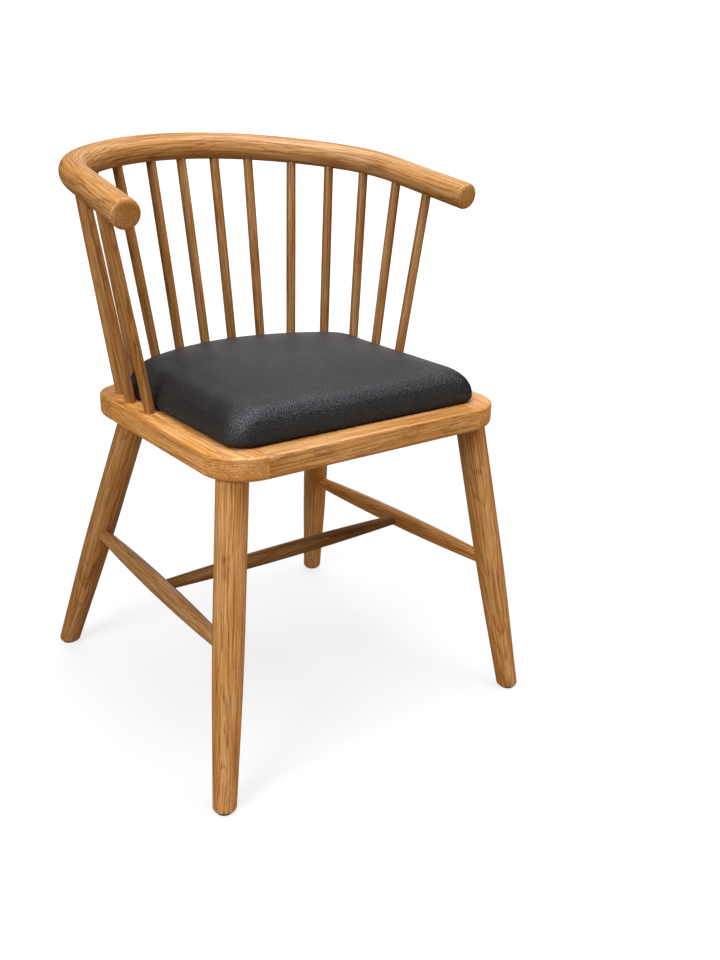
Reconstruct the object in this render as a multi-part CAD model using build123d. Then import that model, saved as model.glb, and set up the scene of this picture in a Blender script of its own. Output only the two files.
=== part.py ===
"""A spindle back armchair: seat frame, splayed legs, H stretcher, spindles, bow rail and a crowned pad.

Millimetres. The chair stands on the floor at z = 0 and faces -Y, with the sitter's space above the pad.
Lefts and rights are the viewer's, looking at the chair's front: left is -X.
"""
from build123d import *
import os
from math import asin, atan2, cos, radians, sin, sqrt

# Fits
glue_fit = 0.1            # radial room of a round tenon, pin or dowel in its socket
end_gap = 0.3             # room past the end of a tenon, and round a soft piece

# Seat frame
seat_top = 425.0          # floor to the wooden seat's top face
seat_thick = 30.0
seat_width = 428.0
seat_depth = 392.0
seat_front_corner = 56.0
seat_back_corner = 48.0
seat_back_radius = 415.0  # plan radius of the back edge
seat_top_round = 3.5
seat_bottom_round = 8.0
rail_width = 56.0         # width of the front rail and of the side rails
back_board_depth = 110.0  # the back board, from its front edge to the middle of the back
tongue_length = 5.0
tongue_thick = 10.0
tongue_margin = 9.0       # wood beside a tongue

# Legs
leg_dia = 38.0
leg_foot_dia = 28.5
leg_taper_from = 182.0    # along the leg, from the floor to where the taper starts
leg_blend = 5000.0        # radius that eases the start of the taper
leg_foot_round = 4.0
leg_tenon_dia = 22.0
front_leg_inset = (32.0, 39.5)   # seat edge to leg axis at the underside, in x and in y
back_leg_inset = (63.0, 54.0)
front_leg_splay = (54.5, 61.0)   # how far the foot stands outside the leg's top, in x and in y
back_leg_splay = (76.5, 120.0)
socket_web = 5.0          # wood left between a leg's socket and a spindle's

# Glides under the feet
glide_dia = 20.0
glide_thick = 2.5
glide_pin_dia = 2.0
glide_pin_length = 10.0

# Stretchers
stretcher_height = 194.0
side_end_dia = 17.0
side_middle_dia = 24.5
side_depth = 12.0         # how deep a side stretcher enters its leg
centre_end_dia = 14.5
centre_middle_dia = 21.5
centre_depth = 8.0        # how deep the centre stretcher enters a side stretcher
centre_share = 0.48       # its place, from the front legs to the back legs
shoulder = 2.0            # straight stretch outside the socket, before the swell starts

# Bow rail
bow_dia = 35.0
bow_height = 721.0        # floor to the centreline at the middle of the back
bow_overhang = 38.5       # centreline behind the seat's back edge
bow_tilt = 9.7            # the bow's plane rises towards the back
bow_flare = 82.0          # how much the bow's back radius is larger than half the seat's width
bow_back_angle = 42.8     # half of the back piece's arc
bow_bend_radius = 112.0
bow_bend_angle = 43.2
bow_arm_length = 144.0    # straight stretch from the bend to the arm's end
bow_end_round = 4.0
dowel_dia = 10.0
dowel_length = 24.0

# Spindles, from the middle of the back to the front of the arm
spindle_dia = 13.0
spindle_inset = 18.5      # seat's side edge to the spindle line, and its back edge in the middle
spindle_line_radius = 300.0   # plan radius of the spindle line's back
spindle_line_corner = 31.0
spindle_depth = 11.0      # how deep a spindle enters the seat
back_top_shares = (0.119, 0.351, 0.645, 0.895)  # along the bow, from its middle to its joint
arm_top_shares = (0.126, 0.389, 0.667)          # along the bow, from its joint to the arm's end
foot_shares = (0.042, 0.129, 0.217, 0.314, 0.399, 0.486, 0.589)  # along half the spindle line

# Pad
pad_gap = 2.0             # between the pad's belly and the spindles' feet
pad_front_corner = 30.0
pad_back_corner = 28.0
pad_lift = 0.5            # cover's hem above the seat
pad_drawn_in = 4.0        # how far the hem lies inside the belly
pad_belly = 15.0          # height of the widest line above the seat
pad_side = 43.0           # height of the rolled edge
pad_roll = 25.0           # how far the rolled edge reaches in
pad_roll_steps = (25, 50, 70)   # degrees round the rolled edge
pad_crown = 52.0          # height of the crown's middle
pad_flat = 118.0          # depth of the crown's flat middle
pad_crown_steps = 3
wadding = 10.0            # leather and wadding round the foam and the board
foam_thick = 18.0
board_thick = 9.0
screw_dia = 4.2
screw_head_dia = 9.0
screw_head_thick = 3.0
screw_recess = 8.0        # depth of the screw's recess in the rail's underside
screw_bite = 7.0          # thread in the seat board
screw_slot = 1.2          # width and depth of the driver's cross
screw_setback = 68.0      # from the side rails to the screws
back_screw_setback = 25.0  # from the back board's front edge

# Worked out
half_width = seat_width / 2
feet_apart = seat_depth + front_leg_inset[1] - front_leg_splay[1] - back_leg_inset[1] + back_leg_splay[1]
seat_front = -feet_apart / 2   # y of the front edge, with the feet evenly about y = 0
seat_back = seat_front + seat_depth
seat_under = seat_top - seat_thick
side_joint_x = half_width - rail_width
back_joint_y = seat_back - back_board_depth
leg_tenon_length = seat_thick - spindle_depth - socket_web - 2 * end_gap
spindle_socket_dia = spindle_dia + 2 * glue_fit
line_half = half_width - spindle_inset
line_angle = asin((line_half - spindle_line_corner) / (spindle_line_radius - spindle_line_corner))
line_bend_y = seat_back - spindle_inset - spindle_line_radius
line_bend_y += (spindle_line_radius - spindle_line_corner) * cos(line_angle)
line_length = spindle_line_radius * line_angle + spindle_line_corner * (radians(90) - line_angle)
line_length += line_bend_y - seat_front
pad_inset = spindle_inset + spindle_dia / 2 + pad_gap
pad_crown_inset = (seat_depth - pad_flat) / 2 - pad_inset
pad_back_radius = spindle_line_radius + spindle_inset
board_inset = pad_inset + pad_drawn_in + wadding + end_gap
bow_radius = bow_dia / 2
bow_back_radius = half_width + bow_flare
bow_joint = bow_back_radius * radians(bow_back_angle)
bow_bend_end = bow_joint + bow_bend_radius * radians(bow_bend_angle)
bow_end = bow_bend_end + bow_arm_length
top_runs = [share * bow_joint for share in back_top_shares]
top_runs += [bow_joint + share * (bow_end - bow_joint) for share in arm_top_shares]
tilt = radians(bow_tilt)
bow_plane = Plane(
    origin=(0, seat_back + bow_overhang, bow_height), x_dir=(1, 0, 0), z_dir=(0, -sin(tilt), cos(tilt))
)
SIDES = {"left": -1, "right": 1}


def block(low: tuple, high: tuple) -> Part:
    """A box between two corners."""
    size = [b - a for a, b in zip(low, high)]
    middle = [(a + b) / 2 for a, b in zip(low, high)]
    return Pos(*middle) * Box(*size)


def rod(start: Vector, end: Vector, dia: float) -> Part:
    """A round rod between two points."""
    run = end - start
    plane = Plane(origin=start, z_dir=run)
    return extrude(plane * Circle(dia / 2), run.length)


def turned(start: Vector, direction: Vector, outline: list) -> Part:
    """A piece turned about an axis: the outline's edges are drawn in (radius, distance along the axis)."""
    profile = make_face(outline)
    piece = revolve(Plane.XZ * profile, Axis.Z)
    return Plane(origin=start, z_dir=direction).location * piece


def u_curve(run: float, back_radius: float, back_angle: float, bend_radius: float, bend_angle: float) -> tuple:
    """A point of a U shaped line, and its heading in radians, at a distance from the middle of its back.

    The line is an arc, a tighter arc and a straight arm. It starts at (0, 0) along +X and turns towards -Y.
    """
    back_run = back_radius * back_angle
    bend_run = bend_radius * bend_angle
    turn = min(run, back_run) / back_radius
    x = back_radius * sin(turn)
    y = back_radius * (cos(turn) - 1)
    if run > back_run:
        bend_turn = turn + min(run - back_run, bend_run) / bend_radius
        x += bend_radius * (sin(bend_turn) - sin(turn))
        y += bend_radius * (cos(bend_turn) - cos(turn))
        turn = bend_turn
    arm = max(run - back_run - bend_run, 0)
    return x + arm * cos(turn), y - arm * sin(turn), turn


def bow_point(run: float, side: int = 1) -> Vector:
    """A point of the bow's centreline."""
    x, y, _ = u_curve(run, bow_back_radius, radians(bow_back_angle), bow_bend_radius, radians(bow_bend_angle))
    return bow_plane.from_local_coords(Vector(side * x, y, 0))


def bow_heading(run: float, side: int = 1) -> Vector:
    """The bow's direction at a point, away from the middle of the back."""
    turn = u_curve(run, bow_back_radius, radians(bow_back_angle), bow_bend_radius, radians(bow_bend_angle))[2]
    return bow_plane.x_dir * (side * cos(turn)) - bow_plane.y_dir * sin(turn)


def spindle_foot(run: float, side: int) -> Vector:
    """A point of the spindle line on the seat's top."""
    x, y, _ = u_curve(run, spindle_line_radius, line_angle, spindle_line_corner, radians(90) - line_angle)
    return Vector(side * x, seat_back - spindle_inset + y, seat_top)


def seat_outline(inset: float, back_radius: float, front_r: float, back_r: float) -> Face:
    """A plan like the seat's, drawn in all round by an inset.

    Args:
        inset: how far inside the seat's edge the outline runs.
        back_radius: the radius of its back before it is drawn in.
        front_r: the radius of its front corners.
        back_r: the radius of its back corners.
    """
    wide = half_width - inset
    front = seat_front + inset
    back = seat_back - inset
    radius = back_radius - inset
    bend_x = wide - back_r
    bend_y = back - radius + sqrt((radius - back_r) ** 2 - bend_x**2)
    slant = atan2(bend_y - back + radius, bend_x)
    diagonal = front_r * (1 - sqrt(0.5))
    edges = [
        Line((-wide + front_r, front), (wide - front_r, front)),
        ThreePointArc((-radius * cos(slant), back - radius + radius * sin(slant)), (0, back),
                      (radius * cos(slant), back - radius + radius * sin(slant))),
    ]
    for side in SIDES.values():
        edges += [
            ThreePointArc((side * (wide - front_r), front), (side * (wide - diagonal), front + diagonal),
                          (side * wide, front + front_r)),
            Line((side * wide, front + front_r), (side * wide, bend_y)),
            ThreePointArc((side * wide, bend_y),
                          (side * (bend_x + back_r * cos(slant / 2)), bend_y + back_r * sin(slant / 2)),
                          (side * (bend_x + back_r * cos(slant)), bend_y + back_r * sin(slant))),
        ]
    return make_face(edges)


def leg_line(front: bool, side: int) -> tuple:
    """A leg's axis: its point on the floor and its point at the seat's underside."""
    inset_x, inset_y = front_leg_inset if front else back_leg_inset
    splay_x, splay_y = front_leg_splay if front else back_leg_splay
    top_x = half_width - inset_x
    top_y = seat_front + inset_y if front else seat_back - inset_y
    foot_y = top_y - splay_y if front else top_y + splay_y
    return Vector(side * (top_x + splay_x), foot_y, 0), Vector(side * top_x, top_y, seat_under)


def leg_point(front: bool, side: int, height: float) -> Vector:
    """The point of a leg's axis at a height."""
    foot, top = leg_line(front, side)
    return foot + (top - foot) * (height / seat_under)


def leg_tenon(front: bool, side: int, dia: float, extra: float) -> Part:
    """A leg's round tenon, or its socket where dia and extra give it room."""
    foot, top = leg_line(front, side)
    up = (top - foot).normalized()
    return rod(top - up * leg_tenon_dia, top + up * (leg_tenon_length + extra), dia)


def leg(front: bool, side: int) -> Part:
    """A tapered leg, cut level at the seat and at its glide, with its tenon and its sockets."""
    foot, top = leg_line(front, side)
    axis = top - foot
    over = leg_dia
    thick, thin = leg_dia / 2, leg_foot_dia / 2
    tip = thin - (thick - thin) / leg_taper_from * over
    side_line = FilletPolyline((thick, axis.length + over), (thick, leg_taper_from), (tip, -over), radius=leg_blend)
    ends = Polyline((tip, -over), (0, -over), (0, axis.length + over), (thick, axis.length + over))
    body = turned(foot, axis, [*side_line.edges(), *ends.edges()])
    reach = seat_width + seat_depth
    body &= block((-reach, -reach, glide_thick), (reach, reach, seat_under))
    body = fillet(body.faces().sort_by(Axis.Z)[0].edges(), leg_foot_round)
    body += leg_tenon(front, side, leg_tenon_dia, 0)
    body -= side_stretcher_tenons(side, side_end_dia + 2 * glue_fit, end_gap)
    return body - glide_pin(front, side, glide_pin_dia + 2 * glue_fit, end_gap)


def glide_pin(front: bool, side: int, dia: float, extra: float) -> Part:
    """The pin that holds a glide, or its hole where dia and extra give it room."""
    middle = leg_point(front, side, glide_thick)
    return rod(middle, middle + Vector(0, 0, glide_pin_length + extra), dia)


def glide(front: bool, side: int) -> Part:
    """A thin disc under a foot, with its pin."""
    middle = leg_point(front, side, glide_thick)
    disc = rod(Vector(middle.X, middle.Y, 0), middle, glide_dia)
    return disc + glide_pin(front, side, glide_pin_dia, 0)


def swelled_rod(start: Vector, end: Vector, end_dia: float, middle_dia: float, straight: float) -> Part:
    """A turned rod with a straight stretch at each end and a swell between them."""
    run = end - start
    thin = end_dia / 2
    swell = ThreePointArc((thin, straight), (middle_dia / 2, run.length / 2), (thin, run.length - straight))
    ends = Polyline((thin, run.length - straight), (thin, run.length), (0, run.length), (0, 0), (thin, 0),
                    (thin, straight))
    return turned(start, run, [swell, *ends.edges()])


def side_stretcher_line(side: int) -> tuple:
    """The side stretcher's axis, from the front leg's axis to the back leg's."""
    return leg_point(True, side, stretcher_height), leg_point(False, side, stretcher_height)


def side_stretcher_ends(side: int, extra: float = 0) -> tuple:
    """The side stretcher's two end points, inside the legs."""
    front, back = side_stretcher_line(side)
    along = (back - front).normalized() * (leg_dia / 2 - side_depth - extra)
    return front + along, back - along


def side_stretcher_tenons(side: int, dia: float, extra: float) -> Part:
    """The sockets of a side stretcher, as rods that reach out of both legs."""
    front, back = side_stretcher_ends(side, extra)
    out = (back - front).normalized() * (2 * leg_dia)
    return rod(front, front + out, dia) + rod(back, back - out, dia)


def side_stretcher(side: int) -> Part:
    """A side stretcher, with the centre stretcher's socket."""
    front, back = side_stretcher_ends(side)
    piece = swelled_rod(front, back, side_end_dia, side_middle_dia, side_depth + shoulder)
    left, right = centre_ends(end_gap)
    return piece - rod(left, right, centre_end_dia + 2 * glue_fit)


def centre_ends(extra: float = 0) -> tuple:
    """The centre stretcher's two end points, inside the side stretchers."""
    front, back = side_stretcher_line(1)
    middle = front + (back - front) * centre_share
    reach = middle.X - side_middle_dia / 2 + centre_depth + extra
    return Vector(-reach, middle.Y, stretcher_height), Vector(reach, middle.Y, stretcher_height)


def centre_stretcher() -> Part:
    """The rod that joins the side stretchers."""
    left, right = centre_ends()
    return swelled_rod(left, right, centre_end_dia, centre_middle_dia, centre_depth + shoulder)


def spindle_line(index: int, side: int) -> tuple:
    """A spindle's point on the seat's top, its point on the bow's centreline and its direction."""
    foot = spindle_foot(foot_shares[index] * line_length, side)
    top = bow_point(top_runs[index], side)
    return foot, top, (top - foot).normalized()


def spindle(index: int, side: int) -> Part:
    """A straight round spindle, from the bottom of its seat socket to the bow's centreline."""
    foot, top, up = spindle_line(index, side)
    return rod(foot - up * spindle_depth, top, spindle_dia)


def spindle_socket(index: int, side: int) -> Part:
    """The room that a spindle takes in the seat and in the bow."""
    foot, top, up = spindle_line(index, side)
    return rod(foot - up * (spindle_depth + end_gap), top + up * end_gap, spindle_socket_dia)


def seat_blank() -> Part:
    """The whole seat frame's outer body, eased along its edges, before it is cut into rails."""
    outline = seat_outline(0, seat_back_radius, seat_front_corner, seat_back_corner)
    body = Pos(0, 0, seat_under) * extrude(outline, seat_thick)
    body = fillet(body.faces().sort_by(Axis.Z)[-1].edges(), seat_top_round)
    return fillet(body.faces().sort_by(Axis.Z)[0].edges(), seat_bottom_round)


def tongue(joint: str, side: int, room: float = 0) -> Part:
    """A tongue between two rails, or its groove where room is given.

    Args:
        joint: "front" for the front rail's end, "back" for the side rail's back end.
        side: -1 for the left side, 1 for the right.
        room: clearance all round.
    """
    middle = (seat_top + seat_under) / 2
    low_z, high_z = middle - tongue_thick / 2 - room, middle + tongue_thick / 2 + room
    reach = tongue_length + (end_gap if room else 0)
    if joint == "front":
        low_y = seat_front + tongue_margin - room
        high_y = seat_front + rail_width - tongue_margin + room
        near, far = side_joint_x - tongue_length, side_joint_x + reach
    else:
        low_y, high_y = back_joint_y - tongue_length, back_joint_y + reach
        near, far = side_joint_x + tongue_margin - room, half_width - tongue_margin * 2 + room
    low_x, high_x = sorted((side * near, side * far))
    return block((low_x, low_y, low_z), (high_x, high_y, high_z))


def screw_places() -> list:
    """Where the pad's screws stand, in plan."""
    front_y = seat_front + (board_inset + rail_width) / 2
    back_y = back_joint_y + back_screw_setback
    return [(side * (side_joint_x - screw_setback), y) for y in (front_y, back_y) for side in SIDES.values()]


def screw(x: float, y: float) -> Part:
    """A pan head screw from the rail's recess into the seat board, with a cross in its head."""
    seat = seat_under + screw_recess
    head = rod(Vector(x, y, seat - screw_head_thick), Vector(x, y, seat), screw_head_dia)
    shank = rod(Vector(x, y, seat), Vector(x, y, seat_top + screw_bite), screw_dia)
    cross = Box(screw_head_dia / 2, screw_slot, screw_slot) + Box(screw_slot, screw_head_dia / 2, screw_slot)
    return head + shank - Pos(x, y, seat - screw_head_thick + screw_slot / 2) * cross


def screw_room(x: float, y: float) -> Part:
    """The recess and the clearance hole that a screw needs in a rail, and its hole in the seat board."""
    seat = seat_under + screw_recess
    recess = rod(Vector(x, y, seat_under), Vector(x, y, seat), screw_head_dia + 2 * end_gap)
    hole = rod(Vector(x, y, seat), Vector(x, y, seat_top + screw_bite + end_gap), screw_dia + 2 * glue_fit)
    return recess + hole


def seat_rails() -> dict:
    """The four rails of the seat frame, with their tongues, grooves, sockets and screw holes."""
    blank = seat_blank()
    reach = seat_width + seat_depth
    low, high = seat_under, seat_top
    rails = {
        "seat_rail_front": blank & block((-side_joint_x, -reach, low), (side_joint_x, seat_front + rail_width, high)),
        "seat_rail_back": blank & block((-reach, back_joint_y, low), (reach, reach, high)),
    }
    for name, side in SIDES.items():
        near, far = sorted((side * side_joint_x, side * reach))
        rail = blank & block((near, -reach, low), (far, back_joint_y, high))
        rails[f"seat_rail_{name}"] = rail + tongue("back", side) - tongue("front", side, glue_fit)
        rails["seat_rail_front"] += tongue("front", side)
        rails["seat_rail_back"] -= tongue("back", side, glue_fit)
    sockets = [spindle_socket(index, side) for index in range(len(foot_shares)) for side in SIDES.values()]
    sockets += [leg_tenon(front, side, leg_tenon_dia + 2 * glue_fit, end_gap)
                for front in (True, False) for side in SIDES.values()]
    sockets += [screw_room(x, y) for x, y in screw_places()]
    return {name: rail - sockets for name, rail in rails.items()}


def bow_dowel(side: int, dia: float, extra: float) -> Part:
    """The dowel across a bow joint, or its hole where dia and extra give it room."""
    half = bow_heading(bow_joint, side) * (dowel_length / 2 + extra)
    middle = bow_point(bow_joint, side)
    return rod(middle - half, middle + half, dia)


def bow_pieces() -> dict:
    """The bow's back arc and its two arms, with the spindles' sockets and the dowels' holes."""
    section = Circle(bow_radius)
    back_path = ThreePointArc(bow_point(bow_joint, -1), bow_point(0), bow_point(bow_joint))
    start = Plane(origin=bow_point(bow_joint, -1), z_dir=bow_heading(bow_joint, -1))
    pieces = {"bow_back": sweep(start * section, path=back_path)}
    for name, side in SIDES.items():
        middle = bow_point((bow_joint + bow_bend_end) / 2, side)
        bend = ThreePointArc(bow_point(bow_joint, side), middle, bow_point(bow_bend_end, side))
        arm = Line(bow_point(bow_bend_end, side), bow_point(bow_end, side))
        start = Plane(origin=bow_point(bow_joint, side), z_dir=bow_heading(bow_joint, side))
        piece = sweep(start * section, path=Wire([bend, arm]))
        end_face = piece.faces().sort_by_distance(bow_point(bow_end, side))[0]
        pieces[f"bow_arm_{name}"] = fillet(end_face.edges(), bow_end_round)
    sockets = [spindle_socket(index, side) for index in range(len(top_runs)) for side in SIDES.values()]
    sockets += [bow_dowel(side, dowel_dia + 2 * glue_fit, end_gap) for side in SIDES.values()]
    return {name: piece - sockets for name, piece in pieces.items()}


def pad_lines() -> list:
    """The pad's level lines, from hem to crown: how far inside the belly, and how high above the seat."""
    lines = [(pad_drawn_in, pad_lift), (0, pad_belly)]
    for angle in pad_roll_steps:
        turn = radians(angle)
        lines.append((pad_roll * (1 - cos(turn)), pad_belly + (pad_side - pad_belly) * sin(turn)))
    edge_inset, edge_height = lines[-1]
    for step in range(1, pad_crown_steps + 1):
        share = step / pad_crown_steps
        rise = (pad_crown - edge_height) * (1 - (1 - share) ** 2)
        lines.append((edge_inset + (pad_crown_inset - edge_inset) * share, edge_height + rise))
    return lines


def pad_pieces() -> dict:
    """The crowned leather cover with its wadding, the foam slab in it and the board that both are made on."""
    levels = []
    for inset, height in pad_lines():
        outline = seat_outline(pad_inset + inset, pad_back_radius, pad_front_corner, pad_back_corner)
        levels.append(Pos(0, 0, seat_top + height) * outline)
    core = seat_outline(board_inset, pad_back_radius, pad_front_corner, pad_back_corner)
    pocket = seat_outline(board_inset - end_gap, pad_back_radius, pad_front_corner, pad_back_corner)
    foam_low = seat_top + board_thick + end_gap
    pocket_high = board_thick + foam_thick + 2 * end_gap
    board = Pos(0, 0, seat_top) * extrude(core, board_thick)
    return {
        "seat_cover": loft(levels, ruled=True) - Pos(0, 0, seat_top) * extrude(pocket, pocket_high),
        "seat_foam": Pos(0, 0, foam_low) * extrude(core, foam_thick),
        "seat_board": board - [screw_room(x, y) for x, y in screw_places()],
    }


def chair() -> dict:
    """Every piece of the chair, by name."""
    pieces = {**seat_rails(), **bow_pieces(), **pad_pieces()}
    for place, front in (("front", True), ("back", False)):
        for name, side in SIDES.items():
            pieces[f"leg_{place}_{name}"] = leg(front, side)
            pieces[f"glide_{place}_{name}"] = glide(front, side)
    for name, side in SIDES.items():
        pieces[f"side_stretcher_{name}"] = side_stretcher(side)
        for index in range(len(top_runs)):
            pieces[f"spindle_{name}_{index + 1}"] = spindle(index, side)
    pieces["centre_stretcher"] = centre_stretcher()
    pieces["pad_screws"] = Compound(children=[screw(x, y) for x, y in screw_places()])
    pieces["bow_dowels"] = Compound(children=[bow_dowel(side, dowel_dia, 0) for side in SIDES.values()])
    return pieces


os.makedirs("parts", exist_ok=True)
for node, shape in chair().items():
    export_step(shape, f"parts/{node}.step")
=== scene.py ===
"""Looks of the spindle back armchair: oak frame, bow and spindles, and a charcoal leather pad."""
import logging
from dataclasses import dataclass, replace
from enum import Enum
from math import asin, atan2, cos, pi, radians, sin, sqrt
from typing import Any

import bmesh
import bpy
from mathutils import Matrix, Quaternion, Vector


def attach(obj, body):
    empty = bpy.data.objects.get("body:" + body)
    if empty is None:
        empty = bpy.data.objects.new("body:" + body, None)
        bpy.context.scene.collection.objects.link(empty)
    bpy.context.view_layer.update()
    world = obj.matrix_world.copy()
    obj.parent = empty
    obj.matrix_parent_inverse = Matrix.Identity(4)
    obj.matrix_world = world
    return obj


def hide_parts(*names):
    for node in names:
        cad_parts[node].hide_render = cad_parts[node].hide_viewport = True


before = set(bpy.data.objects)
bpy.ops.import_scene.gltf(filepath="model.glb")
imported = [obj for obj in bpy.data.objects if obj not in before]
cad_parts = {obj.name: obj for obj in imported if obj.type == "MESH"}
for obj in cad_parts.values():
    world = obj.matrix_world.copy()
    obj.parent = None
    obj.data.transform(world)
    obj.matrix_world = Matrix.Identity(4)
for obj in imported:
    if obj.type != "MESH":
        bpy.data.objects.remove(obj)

Pair = tuple[float, float]
Triple = tuple[float, float, float]
Colour = Triple

LOG = logging.getLogger("armchair")
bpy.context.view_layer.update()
SIDES = {"left": -1, "right": 1}
SHARP_EDGE = radians(35)
NO_ROUND = 1e-6
HALF: Triple = (0.5, 0.5, 0.5)
WHITE: Colour = (1.0, 1.0, 1.0)
DAYLIGHT: Colour = (0.95, 0.99, 1.06)
LAMPLIGHT: Colour = (1.0, 0.92, 0.78)


class GrainSource(Enum):
    """Where an oak piece reads its grain's coordinates from."""

    OBJECT = "object"
    SWEPT = "grain"


@dataclass(frozen=True)
class GrainLay:
    """How the tree lay in one oak piece: along which line, and how far off the pith stood."""

    axis: Triple = (0.0, 0.0, 1.0)
    origin: Triple = (0.0, 0.0, 0.0)
    pith: Pair = (0.045, 0.02)
    shift: float = 0.0
    # The tone scales the piece's colours. It is partly the wood's own difference from piece to piece and
    # partly painted light and shade: lighter on pieces the lamps light well, darker on pieces in shade.
    tone: float = 1.0
    rays: float = 0.08
    end: float = 9.0
    end_blend: float = 0.003
    mirrored: bool = False
    source: GrainSource = GrainSource.OBJECT

    def turn(self) -> Quaternion:
        """The turn that brings the piece's axis upright."""
        return Vector(self.axis).normalized().rotation_difference(Vector((0, 0, 1)))

    def move(self) -> Vector:
        """The move that sets the piece beside the pith, after the turn."""
        return Vector((*self.pith, self.shift)) - self.turn() @ Vector(self.origin)

    def flip(self) -> Triple:
        """The scale that turns the grain round where the piece was swept the other way."""
        return (1.0, -1.0, -1.0) if self.mirrored else (1.0, 1.0, 1.0)


class NodeSketch:
    """A short hand for laying out the nodes of one tree."""

    def __init__(self, tree: bpy.types.NodeTree) -> None:
        """Keeps the tree that the nodes go into."""
        self.tree = tree

    def node(self, kind: str, sockets: dict[Any, Any] | None = None, **settings: Any) -> bpy.types.Node:
        """Adds a node.

        Args:
            kind: the node's type.
            sockets: values or sockets for its inputs, by name or number.
            settings: values of the node's own fields.

        Returns:
            The new node.
        """
        node = self.tree.nodes.new(kind)
        for name, value in settings.items():
            setattr(node, name, value)
        for key, value in (sockets or {}).items():
            self.feed(node.inputs[key], value)
        return node

    def feed(self, socket: bpy.types.NodeSocket, value: Any) -> None:
        """Links a socket to another, or sets its value.

        Args:
            socket: the input to feed.
            value: an output, or a plain value.
        """
        if isinstance(value, bpy.types.NodeSocket):
            self.tree.links.new(value, socket)
        else:
            socket.default_value = value

    def math(self, operation: str, *values: Any, clamp: bool = False) -> bpy.types.NodeSocket:
        """The result of a sum on one to three values."""
        sockets = dict(enumerate(values))
        return self.node("ShaderNodeMath", sockets, operation=operation, use_clamp=clamp).outputs[0]

    def vector(self, operation: str, *values: Any) -> bpy.types.NodeSocket:
        """The vector result of a sum on vectors."""
        sockets = dict(enumerate(values))
        return self.node("ShaderNodeVectorMath", sockets, operation=operation).outputs["Vector"]

    def scaled(self, vector: Any, factor: Any) -> bpy.types.NodeSocket:
        """A vector times a number."""
        sockets = {0: vector, "Scale": factor}
        return self.node("ShaderNodeVectorMath", sockets, operation="SCALE").outputs["Vector"]

    def noise(self, coords: Any, cells: Triple, detail: float = 2.0,
              roughness: float = 0.5) -> bpy.types.Node:
        """A noise with stretched cells.

        Args:
            coords: where it is read, in metres.
            cells: how many cells a metre holds along x, y and z.
            detail: how many finer layers it has.
            roughness: how much these count.

        Returns:
            The noise node.
        """
        sockets = {"Vector": self.vector("MULTIPLY", coords, cells), "Scale": 1.0}
        return self.node("ShaderNodeTexNoise", sockets | {"Detail": detail, "Roughness": roughness})

    def ramp(self, value: Any, bounds: tuple[Any, Any], start: float = 0.0,
             end: float = 1.0) -> bpy.types.NodeSocket:
        """A smooth step of a value.

        Args:
            value: the value.
            bounds: where the step begins and ends.
            start: the result at the first bound.
            end: the result at the second bound.

        Returns:
            The step's result.
        """
        low, high = bounds
        sockets = {"Value": value, "From Min": low, "From Max": high, "To Min": start, "To Max": end}
        return self.node("ShaderNodeMapRange", sockets, interpolation_type="SMOOTHSTEP").outputs["Result"]

    def blend(self, factor: Any, first: Any, second: Any) -> bpy.types.NodeSocket:
        """A mix of two colours.

        Args:
            factor: the second colour's share.
            first: the colour at 0.
            second: the colour at 1.

        Returns:
            The mixed colour.
        """
        node = self.node("ShaderNodeMix", data_type="RGBA")
        for identifier, value in (("Factor_Float", factor), ("A_Color", first), ("B_Color", second)):
            self.feed(next(item for item in node.inputs if item.identifier == identifier), value)
        return next(item for item in node.outputs if item.identifier == "Result_Color")

    def stored(self, geometry: Any, name: str, value: Any, kind: str) -> bpy.types.NodeSocket:
        """Keeps a value on a geometry's points.

        Args:
            geometry: the geometry.
            name: the value's name there.
            value: the value.
            kind: its data type.

        Returns:
            The geometry with the value.
        """
        sockets = {"Geometry": geometry, "Name": name, "Value": value}
        store = self.node("GeometryNodeStoreNamedAttribute", sockets, data_type=kind, domain="POINT")
        return store.outputs[0]

    def surface(self, colour: Any, rough: Any, height: Any, bump: Pair) -> bpy.types.Node:
        """Feeds the material's shader.

        Args:
            colour: the base colour.
            rough: the roughness.
            height: the relief.
            bump: the relief's strength, and its depth in metres.

        Returns:
            The shader.
        """
        strength, depth = bump
        relief = self.node("ShaderNodeBump", {"Strength": strength, "Distance": depth, "Height": height})
        shader = self.tree.nodes["Principled BSDF"]
        fed = {"Base Color": colour, "Roughness": rough, "Normal": relief.outputs["Normal"]}
        for label, value in fed.items():
            self.feed(shader.inputs[label], value)
        return shader


def opaque(colour: Colour) -> tuple[float, float, float, float]:
    """A colour with its fourth number."""
    return (*colour, 1.0)


def new_finish(name: str) -> tuple[bpy.types.Material, NodeSketch]:
    """A new material with nodes.

    Args:
        name: its name.

    Returns:
        The material, and a sketch of its tree.
    """
    finish = bpy.data.materials.new(name)
    finish.use_nodes = True
    return finish, NodeSketch(finish.node_tree)


def group_of(name: str, kind: str, takes: dict[str, str], gives: dict[str, str]) -> tuple[Any, Any, Any]:
    """A new node group with named sockets.

    Args:
        name: the group's name.
        kind: the type of its tree.
        takes: its inputs' names and socket types.
        gives: its outputs' names and socket types.

    Returns:
        The group, its input node and its output node.
    """
    group = bpy.data.node_groups.new(name, kind)
    for way, sockets in (("INPUT", takes), ("OUTPUT", gives)):
        for label, socket in sockets.items():
            group.interface.new_socket(label, in_out=way, socket_type=socket)
    return group, group.nodes.new("NodeGroupInput"), group.nodes.new("NodeGroupOutput")


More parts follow.
